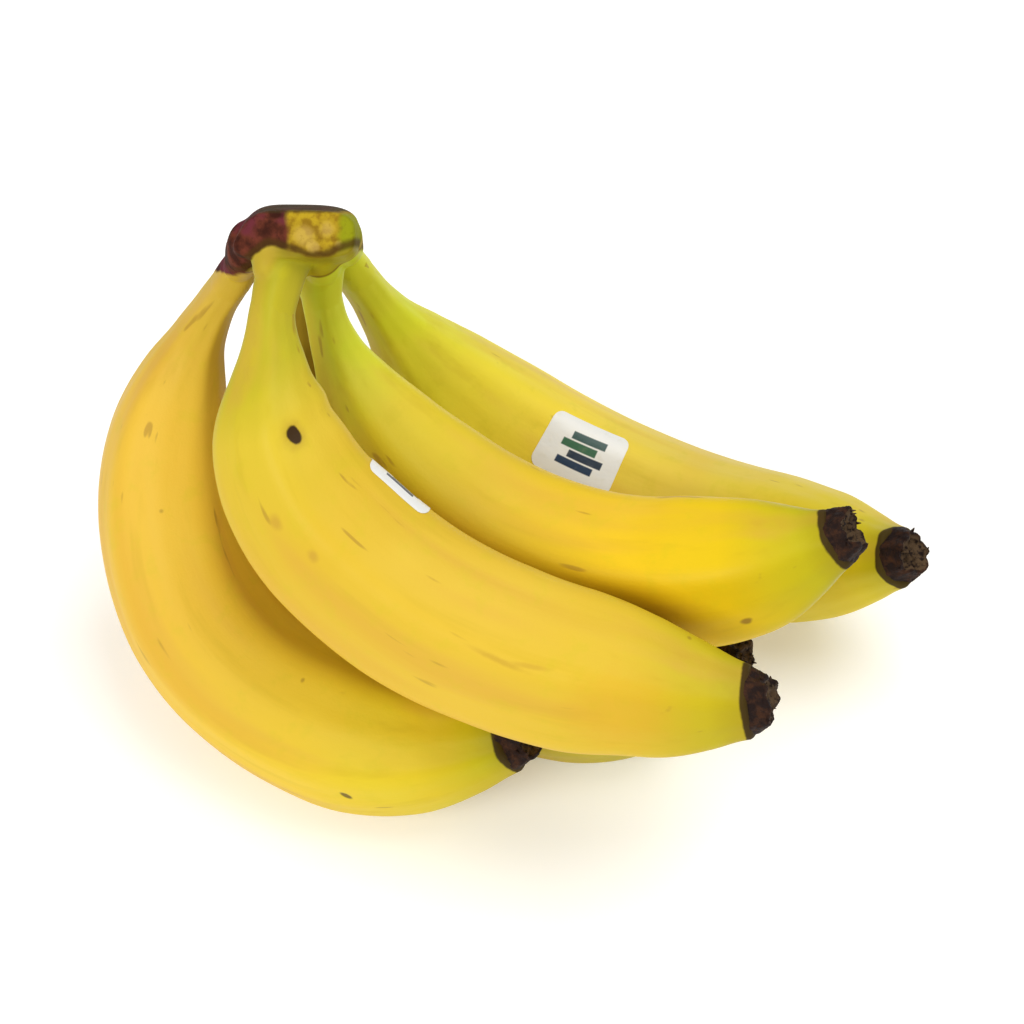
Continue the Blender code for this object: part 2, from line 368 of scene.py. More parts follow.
class Paint(Tree):
    """A material being mixed."""

    def __init__(self, name, roughness=0.5, specular=0.4):
        self.material = bpy.data.materials.new(name)
        self.material.use_nodes = True
        super().__init__(self.material.node_tree)
        self.shader = self.nodes.nodes["Principled BSDF"]
        self.shader.inputs["Roughness"].default_value = roughness
        self.shader.inputs["Specular IOR Level"].default_value = specular

    def named(self, name, output=2):
        """An attribute of the mesh: output 1 as a vector, 2 as a number."""
        return self.node("ShaderNodeAttribute", {"attribute_name": name}, {}, output)

    def place(self):
        """Where a point is on the object."""
        return self.node("ShaderNodeTexCoord", {}, {}, 3)

    def mixed(self, factor, a, b):
        """One colour over another."""
        a, b = (value if isinstance(value, Socket) else (*value, 1) for value in (a, b))
        return self.node("ShaderNodeMix", {"data_type": "RGBA"}, {0: factor, 6: a, 7: b}, 2)

    def turned(self, vector, axis, angle):
        """A vector turned about an axis by an angle in degrees."""
        settings = {"rotation_type": axis}
        return self.node("ShaderNodeVectorRotate", settings, {"Vector": vector, "Angle": radians(angle)})

    def bump(self, height, distance, strength=1.0, under=None):
        """A bump from a height."""
        inputs = {"Strength": strength, "Distance": distance, "Height": height}
        if under is not None:
            inputs["Normal"] = under
        return self.node("ShaderNodeBump", {}, inputs)

    def feed(self, name, value):
        """Links a value to one of the shader's sockets."""
        self.nodes.links.new(value.socket, self.shader.inputs[name])


def seen(red, green, blue):
    """A colour as the eye sees it (0 to 255), made linear."""
    shares = [part / 255 for part in (red, green, blue)]
    return tuple(s / 12.92 if s <= 0.04045 else ((s + 0.055) / 1.055) ** 2.4 for s in shares)


def mesh_object(name, points, faces):
    """An object of points and faces, shaded smooth."""
    data = bpy.data.meshes.new(name)
    data.from_pydata([tuple(point) for point in points], [], faces)
    data.validate()
    data.shade_smooth()
    made = bpy.data.objects.new(name, data)
    bpy.context.scene.collection.objects.link(made)
    return made


def tube_faces(rows, count):
    """Faces of a closed skin through rows of points, whose last two points are its poles."""
    faces = []
    for r in range(rows - 1):
        for i in range(count):
            j = (i + 1) % count
            faces.append((r * count + i, r * count + j, (r + 1) * count + j, (r + 1) * count + i))
    first, last = rows * count, rows * count + 1
    for i in range(count):
        j = (i + 1) % count
        faces.append((first, j, i))
        faces.append((last, (rows - 1) * count + i, (rows - 1) * count + j))
    return faces


def loft(name, rings):
    """A closed skin through rings of points, with a pole at each end."""
    ends = [rings[0].mean(0)[None], rings[-1].mean(0)[None]]
    points = np.concatenate([rings.reshape(-1, 3), *ends])
    return mesh_object(name, points, tube_faces(len(rings), rings.shape[1]))


def set_numbers(piece, name, values):
    """A number for each point of a mesh."""
    piece.data.attributes.new(name, "FLOAT", "POINT").data.foreach_set("value", np.ravel(values))


def set_vectors(piece, name, values):
    """A vector for each point of a mesh."""
    piece.data.attributes.new(name, "FLOAT_VECTOR", "POINT").data.foreach_set("vector", np.ravel(values))


def geometry_tree(name, inputs):
    """An empty geometry tree, and its named inputs."""
    nodes = bpy.data.node_groups.new(name, "GeometryNodeTree")
    nodes.interface.new_socket("Geometry", in_out="INPUT", socket_type="NodeSocketGeometry")
    for label, kind in inputs.items():
        nodes.interface.new_socket(label, in_out="INPUT", socket_type="NodeSocket" + kind)
    nodes.interface.new_socket("Geometry", in_out="OUTPUT", socket_type="NodeSocketGeometry")
    tree = Tree(nodes)
    given = nodes.nodes.new("NodeGroupInput")
    return tree, {output.name: Socket(tree, output) for output in given.outputs if output.name}


def finish_tree(tree, geometry, material):
    """Ends a geometry tree in Realize Instances and Set Material."""
    real = tree.node("GeometryNodeRealizeInstances", {}, {"Geometry": geometry})
    painted = tree.node("GeometryNodeSetMaterial", {}, {"Geometry": real, "Material": material})
    end = tree.nodes.nodes.new("NodeGroupOutput")
    tree.nodes.links.new(painted.socket, end.inputs[0])
    return tree


def worked_by(piece, tree, values):
    """The piece after a geometry tree with these inputs, as a plain mesh."""
    modifier = piece.modifiers.new("worked", "NODES")
    modifier.node_group = tree.nodes
    inputs = [item for item in tree.nodes.interface.items_tree if item.in_out == "INPUT"]
    sockets = {item.name: item.identifier for item in inputs}
    for name, value in values.items():
        modifier[sockets[name]] = value
    plain(piece)


def plain(piece):
    """The piece with its modifiers made part of its mesh."""
    graph = bpy.context.evaluated_depsgraph_get()
    finished = bpy.data.meshes.new_from_object(piece.evaluated_get(graph))
    piece.modifiers.clear()
    old = piece.data
    piece.data = finished
    bpy.data.meshes.remove(old)


def crevice_shade_amount(points, fruits):
    """How near each point is to a second fruit, as the strength of painted shade there: 1 where the two
    touch or part.
    """
    shares = np.linspace(0, 1, 90)
    gaps = []
    for fruit in fruits.values():
        line, girth = fruit.frames(shares)[0], fruit.girth(shares)
        gap = [
            (np.linalg.norm(part[:, None] - line, axis=2) - girth).min(1)
            for part in np.array_split(points, 16)
        ]
        gaps.append(np.concatenate(gap))
    first, second = np.sort(gaps, axis=0)[:2]
    parting = np.exp(-(((second - first) / PARTING_WIDTH) ** 2))
    return np.maximum(parting, np.exp(-np.clip(second, 0, None) / CREVICE_REACH))


def relief_tree(material):
    """Raises soft ridges along a fruit's skin, makes it a little uneven and presses it flat below."""
    sizes = ("Ridges", "Ridge Height", "Ridge Turn", "Uneven", "Fine", "Seed")
    tree, ask = geometry_tree("fruit_relief", {size: "Float" for size in sizes})
    straight = tree.stored("straight", "FLOAT_VECTOR")
    outward = tree.stored("outward", "FLOAT_VECTOR")
    radius = tree.stored("girth")
    x, y = tree.parts(straight)[:2]
    around = y.worked("ARCTAN2", x) - ask["Ridge Turn"]
    wave = (around * ask["Ridges"]).worked("COSINE")
    double = (around * ask["Ridges"] * 2.0).worked("COSINE")
    ridge = (wave + double * SECOND_WAVE) * ask["Ridge Height"] * radius
    shifted = tree.vector("ADD", straight, tree.joined(ask["Seed"], ask["Seed"], 0.0))
    swells = (tree.noise(shifted, SWELL_SCALE, 1.0) - 0.5) * ask["Uneven"]
    drawn = tree.vector("MULTIPLY", shifted, (1.0, 1.0, GRAIN_STRETCH))
    grain = (tree.noise(drawn, GRAIN_SCALE, 2.0) - 0.5) * ask["Fine"]
    rise = ridge + (swells + grain) * tree.eased(radius, EVEN_BELOW, UNEVEN_FROM)
    raised = {"Geometry": ask["Geometry"], "Offset": tree.scaled(outward, rise)}
    moved = tree.node("GeometryNodeSetPosition", {}, raised)
    x, y, z = tree.parts(tree.node("GeometryNodeInputPosition"))
    flat = tree.joined(x, y, z.worked("MAXIMUM", 0.0))
    pressed = tree.node("GeometryNodeSetPosition", {}, {"Geometry": moved, "Position": flat})
    return finish_tree(tree, pressed, material)


# How each fruit's colour runs from its neck to its flower end (share of its length, colour)
GROUND = {
    "left": (
        (0.00, seen(186, 156, 50)),
        (0.10, seen(204, 170, 52)),
        (0.24, seen(226, 184, 60)),
        (0.50, seen(226, 184, 54)),
        (0.74, seen(226, 192, 48)),
        (0.88, seen(216, 194, 36)),
        (0.95, seen(184, 178, 14)),
        (1.00, seen(136, 128, 14)),
    ),
    "front": (
        (0.00, seen(152, 152, 22)),
        (0.12, seen(172, 168, 28)),
        (0.22, seen(210, 184, 48)),
        (0.36, seen(214, 178, 46)),
        (0.62, seen(220, 183, 54)),
        (0.82, seen(216, 182, 46)),
        (0.93, seen(192, 174, 26)),
        (1.00, seen(150, 140, 18)),
    ),
    "middle": (
        (0.00, seen(198, 220, 50)),
        (0.14, seen(210, 222, 52)),
        (0.26, seen(220, 200, 46)),
        (0.44, seen(214, 182, 46)),
        (0.68, seen(230, 192, 30)),
        (0.84, seen(224, 190, 20)),
        (0.94, seen(188, 176, 20)),
        (1.00, seen(144, 138, 16)),
    ),
    "back": (
        (0.00, seen(200, 212, 36)),
        (0.14, seen(210, 216, 42)),
        (0.28, seen(234, 216, 58)),
        (0.44, seen(240, 212, 64)),
        (0.66, seen(224, 198, 76)),
        (0.82, seen(222, 198, 54)),
        (0.93, seen(216, 202, 30)),
        (1.00, seen(172, 158, 22)),
    ),
    "under": (
        # Painted shade: the under fruit's neck is dark brown where it shows in the shaded slit between the
        # front and middle necks
        (0.00, seen(112, 92, 16)),
        (0.14, seen(106, 82, 12)),
        (0.24, seen(160, 132, 26)),
        (0.50, seen(212, 180, 40)),
        (0.74, seen(188, 168, 36)),
        (0.88, seen(176, 164, 32)),
        (0.95, seen(164, 154, 24)),
        (1.00, seen(136, 124, 18)),
    ),
}

# Marks on the skin: fruit, share of the length, angle round it, length and width (mm), turn, colour,
# strength, and how soft the edge is
MARKS = (
    ("front", 0.232, 49, 7.6, 5.2, -14, seen(150, 110, 40), 0.40, 0.9),
    ("front", 0.232, 49, 5.0, 3.2, -14, seen(40, 14, 6), 0.96, 0.25),
    ("front", 0.317, 94, 3.6, 3.0, 0, seen(176, 120, 50), 0.38, 0.9),
    ("front", 0.379, 85, 3.0, 2.4, 30, seen(176, 122, 52), 0.40, 0.9),
    ("front", 0.655, 74, 13.0, 1.3, 4, seen(176, 132, 40), 0.40, 1.0),
    ("front", 0.700, 71, 9.0, 1.2, -6, seen(176, 132, 40), 0.34, 1.0),
    ("front", 0.825, 95, 24.0, 18.0, 0, seen(214, 150, 40), 0.30, 1.0),
    ("middle", 0.842, 122, 2.6, 2.0, 0, seen(120, 76, 30), 0.70, 0.6),
    ("left", 0.800, 124, 3.2, 1.6, 60, seen(84, 62, 26), 0.85, 0.5),
    ("left", 0.440, 200, 6.0, 2.4, 15, seen(140, 92, 40), 0.50, 0.7),
    ("back", 0.620, 210, 9.0, 2.0, -20, seen(150, 98, 42), 0.45, 0.8),
    ("back", 0.330, 150, 3.4, 2.8, 0, seen(96, 58, 26), 0.70, 0.5),
    ("under", 0.480, 190, 8.0, 4.0, 10, seen(158, 104, 44), 0.40, 0.9),
)


# Tints over a ripe ground: where in the noise each begins, its stretch along the fruit, the noise's scale,
# detail and roughness, from where to where it shows, how strongly, and its colour
STREAK_STRETCH = 0.09
STREAKS = (190.0, 3.0, 0.6)
TINTS = (
    ((0, 0, 0), 1.0, (20.0, 2.0, 0.5), 0.50, 0.70, 0.32, seen(222, 168, 34)),
    ((0.31, 0.17, 0), 1.0, (30.0, 3.0, 0.5), 0.52, 0.74, 0.28, seen(226, 192, 66)),
    ((0, 0, 0), STREAK_STRETCH, STREAKS, 0.54, 0.74, 0.20, seen(184, 156, 22)),
    ((0.4, 0, 0), STREAK_STRETCH, (80.0, 2.0, 0.5), 0.52, 0.72, 0.34, seen(206, 148, 66)),
    ((0, 0, 0), 1.0, (160.0, 3.0, 0.6), 0.52, 0.72, 0.18, seen(196, 184, 22)),
)
# Colour of the painted shade in the crevices between fruits
CREVICE_SHADE = seen(108, 70, 8)
RUBBED = seen(150, 108, 40)
FRECKLED = seen(132, 88, 34)
DRIED_RIM = seen(44, 24, 10)
RIM_BEGINS, RIM_FULL = 4.5 * MM, 3.9 * MM
SKIN_BUMP = 0.22 * MM


def drawn_out(paint, straight, stretch=STREAK_STRETCH):
    """Places on a straightened fruit, pressed together lengthways so that a pattern is drawn out."""
    return paint.vector("MULTIPLY", straight, (1.0, 1.0, stretch))


def ripened(paint, colour, straight):
    """A ground colour with the soft unevenness of ripe skin over it, and painted shade where it lies close
    to a second fruit.
    """
    for begins, stretch, noise, low, high, strength, tint in TINTS:
        place = paint.vector("ADD", drawn_out(paint, straight, stretch), begins)
        shows = paint.eased(paint.noise(place, *noise), low, high)
        colour = paint.mixed(shows * strength, colour, tint)
    # Painted shade: darker brown where the skin lies close to a second fruit
    painted_shade = paint.eased(paint.named("crevice"), 0.28, 0.95)
    return paint.mixed(painted_shade * 0.75, colour, CREVICE_SHADE)


def skin_paint(name, fruit):
    """Ripe skin: green at both ends, warm and pale streaks along it, painted shade in the crevices,
    freckles and its own marks.
    """
    paint = Paint("skin_" + name, 0.5, 0.13)
    along = paint.named("along")
    straight = paint.named("straight", 1)
    drift = (paint.noise(straight, 26.0, 2.0) - 0.5) * 0.07
    ground = paint.node("ShaderNodeValToRGB", {"stops": GROUND[name]}, {"Fac": along + drift})
    colour = ripened(paint, ground, straight)

    # Fine rubbed scars run along the fruit
    rubbed = paint.noise(drawn_out(paint, straight, 0.13), 340.0, 2.0, 0.4)
    colour = paint.mixed(paint.eased(rubbed, 0.70, 0.76) * 0.5, colour, RUBBED)

    # Freckles: a few of the cells carry one
    cells = {"Vector": straight, "Scale": 150.0, "Randomness": 1.0}
    near = paint.node("ShaderNodeTexVoronoi", {}, cells, 0)
    chance = paint.parts(paint.node("ShaderNodeTexVoronoi", {}, cells, 1))[0]
    freckle = (1.0 - paint.eased(near, 0.04, 0.13)) * (chance > 0.93)
    colour = paint.mixed(freckle * 0.5, colour, FRECKLED)

    # The fruit's own marks
    wobble = (paint.noise(straight, 420.0, 3.0) - 0.5) * 0.9
    spots = None
    for fruit_name, share, angle, long, wide, turn, mark, strength, soft in MARKS:
        if fruit_name != name:
            continue
        radius = float(fruit.girth(share))
        spot = (radius * cos(radians(angle)), radius * sin(radians(angle)), share * fruit.length)
        aside = paint.vector("SUBTRACT", straight, spot)
        level = paint.turned(aside, "Z_AXIS", -angle)
        lying = paint.turned(level, "X_AXIS", turn)
        sized = paint.vector("MULTIPLY", lying, (0.3 / (wide * MM), 2 / (wide * MM), 2 / (long * MM)))
        reach = paint.vector("LENGTH", sized, None, 1) + wobble * min(soft + 0.2, 0.7)
        mask = 1.0 - paint.eased(reach, 1 - soft * 0.7, 1 + soft * 0.5)
        colour = paint.mixed(mask * strength, colour, mark)
        if strength > 0.8:
            spots = mask if spots is None else spots.worked("MAXIMUM", mask)

    # The skin dries and darkens where the flower was
    reached = along * fruit.length + wobble * (0.7 * MM)
    rim = paint.eased(reached, fruit.length - RIM_BEGINS, fruit.length - RIM_FULL)
    colour = paint.mixed(rim * 0.93, colour, DRIED_RIM)
    paint.feed("Base Color", colour)

    drawn = drawn_out(paint, straight)
    paint.feed("Roughness", 0.47 + (paint.noise(drawn, *STREAKS) - 0.5) * 0.18 + rim * 0.25)
    pores = paint.noise(straight, 1500.0, 2.0)
    fibres = paint.noise(drawn, 620.0, 2.0)
    relief = pores * 0.35 + fibres * 0.65
    if spots is not None:
        relief = relief - spots * 1.2
    paint.feed("Normal", paint.bump(relief, SKIN_BUMP, 0.35))
    return paint.material


def make_skin(name, fruits, tree):
    """One fruit's skin, from inside the crown to the dried flower."""
    fruit = fruits[name]
    first = SKIN_BEGINS / fruit.length
    last = 1 - SKIN_ENDS_BEFORE / fruit.length
    shares = np.linspace(first, last, SECTIONS)
    angles = np.arange(ROUND) * 2 * pi / ROUND
    girth = fruit.girth(shares)
    shares = np.concatenate([shares, [last + past / fruit.length for past, part in TURN_IN]])
    girth = np.concatenate([girth, [girth[-1] * part for past, part in TURN_IN]])
    place = fruit.frames(shares)[0]
    outward = fruit.outward(shares, angles)
    points = place[:, None] + outward * girth[:, None, None]
    rows = len(shares)
    everywhere = np.concatenate([points.reshape(-1, 3), place[:1], place[-1:]])
    skin = mesh_object("skin_" + name, everywhere, tube_faces(rows, ROUND))

    along = np.repeat(shares, ROUND)
    round_it = np.tile(angles, rows)
    wide = np.repeat(girth, ROUND)
    straight = np.stack([wide * np.cos(round_it), wide * np.sin(round_it), along * fruit.length], 1)
    poles = np.array([[0, 0, shares[0] * fruit.length], [0, 0, shares[-1] * fruit.length]])
    set_numbers(skin, "along", np.concatenate([along, shares[[0, -1]]]))
    # How strongly painted crevice shade shows on each point
    set_numbers(skin, "crevice", crevice_shade_amount(everywhere, fruits))
    set_numbers(skin, "girth", np.concatenate([wide, [0, 0]]))
    set_vectors(skin, "straight", np.concatenate([straight, poles]))
    set_vectors(skin, "outward", np.concatenate([outward.reshape(-1, 3), np.zeros((2, 3))]))
    sizes = {
        "Ridges": float(RIDGES),
        "Ridge Height": RIDGE_HEIGHT,
        "Ridge Turn": fruit.ridge_turn,
        "Uneven": UNEVEN,
        "Fine": FINE_UNEVEN,
        "Seed": fruit.length * 7,
    }
    worked_by(skin, tree, sizes)
    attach(skin, "root")
    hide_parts("finger_" + name)
    "skin_" + name
    return skin


FLOWER_CRUMPLE = 1.9 * MM
FIBRE_LENGTH = 1.0 * MM
FIBRE_FOOT, FIBRE_TIP = 0.40 * MM, 0.10 * MM
FIBRES_TO_A_SQUARE_METRE = 1.4e5
FIBRE_LEAN = 0.7


def flower_paint():
    """Dried flower: black brown outside, grey brown and fibrous inside."""
    paint = Paint("dried_flower", 0.7, 0.18)
    place = paint.place()
    patches = paint.noise(place, 420.0, 4.0, 0.65)
    outside = paint.mixed(paint.eased(patches, 0.42, 0.70), seen(28, 11, 6), seen(66, 38, 20))
    dust = paint.eased(paint.noise(place, 900.0, 3.0), 0.45, 0.65)
    dusty = paint.mixed(dust, seen(88, 68, 46), seen(30, 16, 9))
    inside = paint.eased(paint.named("inside") + (patches - 0.5) * 0.6, 0.35, 0.75)
    paint.feed("Base Color", paint.mixed(inside, outside, dusty))
    paint.feed("Roughness", 0.45 + patches * 0.45)
    paint.feed("Normal", paint.bump(paint.noise(place, 1400.0, 4.0, 0.7), 0.5 * MM, 0.8))
    return paint.material


def flower_tree(material):
    """Crumples a dried flower and sets stiff fibres on its rim."""
    tree, ask = geometry_tree("dried_flower", {"Crumple": "Float", "Fibre Length": "Float", "Seed": "Int"})
    place = tree.node("GeometryNodeInputPosition")
    noise = tree.noise(place, 330.0, 3.0, 0.6, 1)
    centred = tree.vector("SUBTRACT", noise, (0.5, 0.5, 0.5))
    offset = tree.scaled(centred, ask["Crumple"] * tree.stored("loose"))
    crumpled = tree.node("GeometryNodeSetPosition", {}, {"Geometry": ask["Geometry"], "Offset": offset})

    points = tree.node(
        "GeometryNodeDistributePointsOnFaces",
        {},
        {"Mesh": crumpled, "Density": tree.stored("rim") * FIBRES_TO_A_SQUARE_METRE, "Seed": ask["Seed"]},
    )
    fibre = tree.node(
        "GeometryNodeMeshCone",
        {},
        {
            "Vertices": 4,
            "Side Segments": 2,
            "Radius Top": FIBRE_TIP,
            "Radius Bottom": FIBRE_FOOT,
            "Depth": ask["Fibre Length"],
        },
    )
    sizes = {2: 0.4, 3: 1.2, "Seed": ask["Seed"]}
    size = tree.node("FunctionNodeRandomValue", {"data_type": "FLOAT"}, sizes, 1)
    least, most = (-FIBRE_LEAN,) * 3, (FIBRE_LEAN,) * 3
    lean = tree.node("FunctionNodeRandomValue", {"data_type": "FLOAT_VECTOR"}, {0: least, 1: most})
    leaning = tree.node("FunctionNodeEulerToRotation", {}, {0: lean})
    turned = tree.node("FunctionNodeRotateRotation", {}, {0: points.beside("Rotation"), 1: leaning})
    set_on = tree.node(
        "GeometryNodeInstanceOnPoints",
        {},
        {"Points": points, "Instance": fibre, "Rotation": turned, "Scale": size},
    )
    both = tree.node("GeometryNodeJoinGeometry", {}, {0: [set_on, crumpled]})
    return finish_tree(tree, both, material)


# A dried flower from where the skin holds it to its ragged mouth: share of its length, share of the
# skin's radius there, how loose it is, and how far inside the mouth
FLOWER_PROFILE = (
    (-0.20, 0.60, 0.0, 0.0),
    (-0.12, 0.84, 0.1, 0.0),
    (-0.02, 0.93, 0.3, 0.0),
    (0.10, 0.92, 0.6, 0.0),
    (0.22, 0.86, 0.8, 0.0),
    (0.34, 0.80, 1.0, 0.0),
    (0.44, 0.75, 1.0, 0.0),
    (0.54, 0.71, 1.0, 0.0),
    (0.62, 0.66, 1.0, 0.1),
    (0.65, 0.60, 1.0, 0.4),
    (0.60, 0.52, 1.0, 0.8),
    (0.50, 0.42, 1.0, 1.0),
    (0.46, 0.30, 1.0, 1.0),
    (0.50, 0.14, 1.0, 1.0),
)
FLOWER_ROWS = 60
FLOWER_ROUND = 90
# Where on the profile the fibres stand, and how far they spread along it
MOUTH_AT, MOUTH_SPREAD = 9, 1.6


def make_flower(name, fruit, tree, number):
    """The dried flower on the end of a fruit."""
    end = 1 - SKIN_ENDS_BEFORE / fruit.length
    place, ahead, left, above = (row[0] for row in fruit.frames([end]))
    radius = float(fruit.girth(end))
    steps = np.linspace(0, len(FLOWER_PROFILE) - 1, FLOWER_ROWS)
    knots = np.arange(len(FLOWER_PROFILE))
    profile = np.array(FLOWER_PROFILE)
    along, wide, loose, inside = (np.interp(steps, knots, profile[:, k]) for k in range(4))
    angles = np.arange(FLOWER_ROUND) * 2 * pi / FLOWER_ROUND
    lobes = 1 + 0.05 * np.cos(5 * angles + number) + 0.05 * np.cos(3 * angles + 2 * number)
    ragged = 1 + 0.14 * np.cos(2 * angles + number * 1.7) + 0.07 * np.cos(7 * angles + number)
    outward = left * np.cos(angles)[:, None] + above * np.sin(angles)[:, None]
    rows = []
    for far, share, slack in zip(along, wide, loose):
        raggedness = 1 + (ragged - 1) * np.clip(far / 0.5, 0, 1)
        middle = place + above * (0.10 * radius * max(far, 0))
        ring = middle + ahead * (far * FLOWER_LENGTH * raggedness)[:, None]
        rows.append(ring + outward * (radius * share * (1 + (lobes - 1) * slack))[:, None])
    flower = loft("flower_" + name, np.array(rows))
    set_numbers(flower, "loose", np.concatenate([np.repeat(loose, FLOWER_ROUND), [0, 1]]))
    set_numbers(flower, "inside", np.concatenate([np.repeat(inside, FLOWER_ROUND), [0, 1]]))
    mouth = np.exp(-(((steps - MOUTH_AT) / MOUTH_SPREAD) ** 2))
    set_numbers(flower, "rim", np.concatenate([np.repeat(mouth, FLOWER_ROUND), [0, 0]]))
    worked_by(flower, tree, {"Crumple": FLOWER_CRUMPLE, "Fibre Length": FIBRE_LENGTH, "Seed": number})
    flower.data.shade_smooth()
    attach(flower, "root")
    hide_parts("flower_end_" + name)
    return flower


# The crown, after the part's source: place along it, its middle across, half width, underside, top (mm)
CROWN_SECTIONS = (
    (-7.2, 8.2, 13.2, 2.8, 9.9),
    (-6.6, 8.0, 14.8, 1.2, 11.4),
    (2, 5.6, 15.4, -0.6, 12.2),
    (14, 1.6, 15.6, -2.0, 12.0),
    (26, 0.4, 12.6, -2.0, 10.8),
    (38, 0.2, 9.0, -2.0, 8.4),
    (46, 1.0, 6.0, -1.6, 5.6),
    (50, 1.6, 4.0, -1.0, 3.4),
)
CROWN_SQUARENESS = 3.6
CROWN_LEFT_SLOPE = 0.40
CROWN_ROUND = 96
NECK_ROUND = 48
# The crown is remeshed at this grain and smoothed this often
CROWN_GRAIN = 0.45 * MM
CROWN_SMOOTHED = 16
# How far round a neck its colour reaches, and how far along the fruit the crown takes its colours
NECK_BLEND = 3 * MM
NECK_SHARE = 0.14

# The start of each neck: where it begins and ends past the crown (mm), and how it swells (mm, share)
NECK_STARTS = {
    "left": (-5, 15, ((0, 1.00), (5, 1.05), (9, 1.04), (15, 0.90))),
    "front": (-8, 15, ((0, 1.30), (4, 1.20), (9, 1.06), (15, 0.90))),
    "middle": (-8, 15, ((0, 1.34), (4, 1.24), (9, 1.06), (15, 0.90))),
    "back": (-3, 15, ((0, 0.94), (4, 1.02), (9, 1.04), (15, 0.90))),
    "under": (-8, 15, ((0, 1.30), (4, 1.20), (9, 1.05), (15, 0.90))),
}

# Webs of tissue that join the slab and the necks: two places in the crown's own lengths (along, across,
# up, mm) and the radius at each
WEBS = (
    ((0.0, -2.5, 5.0), (13.0, -9.5, 0.8), 5.4, 4.4),
    ((1.0, -4.0, 3.2), (15.0, -11.8, -2.8), 4.4, 3.4),
    ((-2.0, 2.8, 5.0), (-3.4, 1.0, -4.0), 5.2, 2.6),
    ((-1.5, 8.0, 5.8), (9.0, 5.0, -2.0), 5.2, 3.6),
    ((-1.2, 13.5, 5.8), (20.0, 6.2, -3.6), 5.4, 4.2),
    ((-1.2, 17.6, 6.8), (26.0, 10.0, 1.0), 4.8, 4.2),
)


# The rim that parts the crown's bark from the necks, in the crown's own frame (mm): it climbs across the
# crown to its height at the right, never sinks below its lowest, and dips like a smile under the cut face
RIM_SLOPE = 0.75
RIM_AT_MIDDLE = 1.6
RIM_AT_RIGHT = 4.1
RIM_LOWEST = -3.2
RIM_BLEND = 1.6
RIM_WANDER = 2.6
SMILE_AT = 14.2
SMILE_REACH = 10.0
SMILE_DEPTH = 2.6
# Pale vessel ends on the cut face: across, up and radius (mm)
VESSELS = ((11.6, 6.2, 2.6), (16.8, 7.4, 2.2), (13.6, 3.6, 1.4), (19.2, 4.4, 1.2))


def crown_frame():
    """A place beside the front neck's root, the way back through the crown, across it and up."""
    roots = {name: Vector(facts[0]) * MM for name, facts in FRUITS.items()}
    back = (roots["back"] - roots["front"]).normalized()
    across = roots["middle"] - roots["left"]
    across = (across - back * across.dot(back)).normalized()
    middle = sum(roots.values(), Vector()) / len(roots)
    beside = roots["front"] + across * across.dot(middle - roots["front"])
    return tuple(np.array(v) for v in (beside, back, across, across.cross(back)))


def bark_colour(paint, place, across, wander, fine):
    """Dried bark: brown and wine red, and olive at the right."""
    brown = paint.eased(paint.noise(place, 260.0, 3.0), 0.35, 0.65)
    bark = paint.mixed(brown, seen(56, 24, 15), seen(104, 50, 34))
    wine = paint.eased(paint.noise(place, 130.0, 2.0), 0.48, 0.62)
    bark = paint.mixed(wine * 0.8, bark, seen(100, 38, 52))
    bark = paint.mixed(paint.eased(fine, 0.50, 0.72) * 0.5, bark, seen(40, 19, 13))
    olive = paint.mixed(paint.eased(fine, 0.4, 0.7), seen(134, 124, 40), seen(98, 84, 36))
    return paint.mixed(paint.eased(across + wander * 4.0, 13.0, 19.0) * 0.85, bark, olive)


def cut_colour(paint, place, across, up, wander, fine):
    """The cut face: olive yellow and green, with the pale ends of its vessels."""
    mottled = paint.eased(paint.noise(place, 420.0, 3.0), 0.40, 0.62)
    cut = paint.mixed(mottled, seen(178, 148, 30), seen(144, 112, 20))
    cut = paint.mixed(paint.eased(across + wander * 3.0, 18.5, 20.5), cut, seen(140, 142, 16))
    flat = paint.joined(0.0, across, up)
    for vessel_across, vessel_up, reach in VESSELS:
        aside = paint.vector("SUBTRACT", flat, (0, vessel_across, vessel_up))
        far = paint.vector("LENGTH", aside, None, 1) + wander * 3.2
        pale = 1.0 - paint.eased(far, reach * 0.2, reach * 1.1)
        ring = paint.eased(far, reach * 0.7, reach) * (1.0 - paint.eased(far, reach, reach * 1.5))
        cut = paint.mixed(pale * 0.42, cut, seen(198, 166, 90))
        cut = paint.mixed(ring * 0.20, cut, seen(104, 72, 18))
    return paint.mixed(paint.eased(fine, 0.54, 0.70) * 0.3, cut, seen(108, 78, 16))


